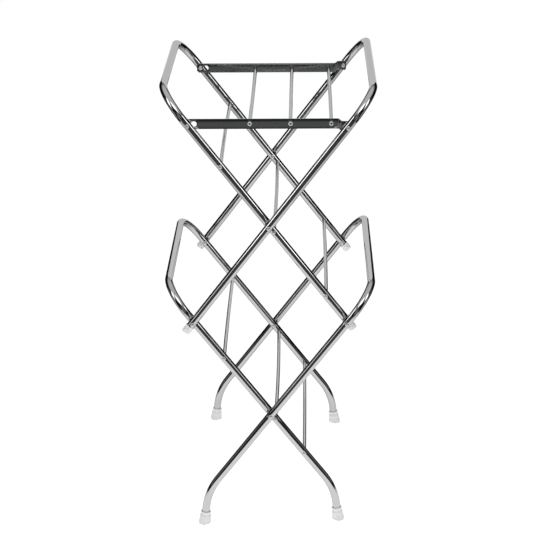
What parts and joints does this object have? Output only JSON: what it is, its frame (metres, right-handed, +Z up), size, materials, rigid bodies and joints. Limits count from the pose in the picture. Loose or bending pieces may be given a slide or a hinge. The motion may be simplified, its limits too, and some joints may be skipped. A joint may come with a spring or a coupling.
{
  "type": "clothes drying rack",
  "caption": "Free-standing two-tier folding clothes rack of crossing bent tube frames with cross rods, a lift-up top shelf of rods and capped feet.",
  "frame": {"origin": "on the floor, under the middle of the open rack", "axes": "+Z up; X across the rack, -X towards the inner frames' bars; the bars and rods run along Y"},
  "size_m": [0.5034, 0.6524, 1.0872],
  "materials": {
    "chromed_tube": "bright chrome plate on bent steel tube",
    "chromed_rod": "bright chrome plate on drawn steel rod",
    "polished_strip": "mirror-polished flat steel",
    "rivet_steel": "plated rivet steel, headed ends",
    "screw_steel": "zinc-plated pan-head screws",
    "end_cap_plastic": "moulded milky white plastic",
    "foot_rubber": "moulded white rubber",
    "nylon_washer": "natural nylon"
  },
  "bodies": {
    "lower_inner": {"lower_inner_frame": "chromed_tube", "lower_rod_1": "chromed_rod", "lower_rod_2": "chromed_rod", "lower_rod_3": "chromed_rod", "inner_foot_front": "foot_rubber", "inner_foot_rear": "foot_rubber", "lower_crossing_rivet_front": "rivet_steel", "lower_crossing_rivet_rear": "rivet_steel", "lower_crossing_washer_front": "nylon_washer", "lower_crossing_washer_rear": "nylon_washer", "left_joint_rivet_front": "rivet_steel", "left_joint_rivet_rear": "rivet_steel", "left_joint_washer_front": "nylon_washer", "left_joint_washer_rear": "nylon_washer"},
    "lower_outer": {"lower_outer_frame": "chromed_tube", "outer_foot_front": "foot_rubber", "outer_foot_rear": "foot_rubber", "right_joint_rivet_front": "rivet_steel", "right_joint_rivet_rear": "rivet_steel", "right_joint_washer_front": "nylon_washer", "right_joint_washer_rear": "nylon_washer"},
    "upper_outer": {"upper_outer_frame": "chromed_tube", "upper_outer_end_cap_front": "end_cap_plastic", "upper_outer_end_cap_rear": "end_cap_plastic", "upper_crossing_rivet_front": "rivet_steel", "upper_crossing_rivet_rear": "rivet_steel", "upper_crossing_washer_front": "nylon_washer", "upper_crossing_washer_rear": "nylon_washer", "shelf_pivot_pin_front": "rivet_steel", "shelf_pivot_pin_rear": "rivet_steel"},
    "upper_inner": {"upper_inner_frame": "chromed_tube", "upper_rod_1": "chromed_rod", "upper_rod_2": "chromed_rod", "upper_rod_3": "chromed_rod", "upper_inner_end_cap_front": "end_cap_plastic", "upper_inner_end_cap_rear": "end_cap_plastic", "latch_stud_front": "rivet_steel", "latch_stud_rear": "rivet_steel"},
    "shelf": {"shelf_strip_front": "polished_strip", "shelf_strip_rear": "polished_strip", "shelf_rod_1": "chromed_rod", "shelf_rod_2": "chromed_rod", "shelf_rod_3": "chromed_rod", "shelf_rod_1_screw_front": "screw_steel", "shelf_rod_1_screw_rear": "screw_steel", "shelf_rod_2_screw_front": "screw_steel", "shelf_rod_2_screw_rear": "screw_steel", "shelf_rod_3_screw_front": "screw_steel", "shelf_rod_3_screw_rear": "screw_steel"}
  },
  "joints": [
    {"name": "fold", "type": "hinge", "parent": "lower_inner", "child": "lower_outer", "pos_m": [0, 0, 0.286], "axis": [0, -1, 0], "range_deg": [0, 54]},
    {"name": "left_joint_turn", "type": "hinge", "parent": "lower_inner", "child": "upper_outer", "pos_m": [-0.18263, 0, 0.52401], "axis": [0, -1, 0], "range_deg": [0, 54]},
    {"name": "upper_crossing_turn", "type": "hinge", "parent": "upper_outer", "child": "upper_inner", "pos_m": [0, 0, 0.76201], "axis": [0, -1, 0], "range_deg": [-54, 0]},
    {"name": "shelf_lift", "type": "hinge", "parent": "upper_outer", "child": "shelf", "pos_m": [0.18385, 0, 1.00161], "axis": [0, 1, 0], "range_deg": [0, 110]}
  ],
  "couplings": [
    {"joint": "left_joint_turn", "follows": "fold", "ratio": 1},
    {"joint": "upper_crossing_turn", "follows": "fold", "ratio": -1}
  ]
}
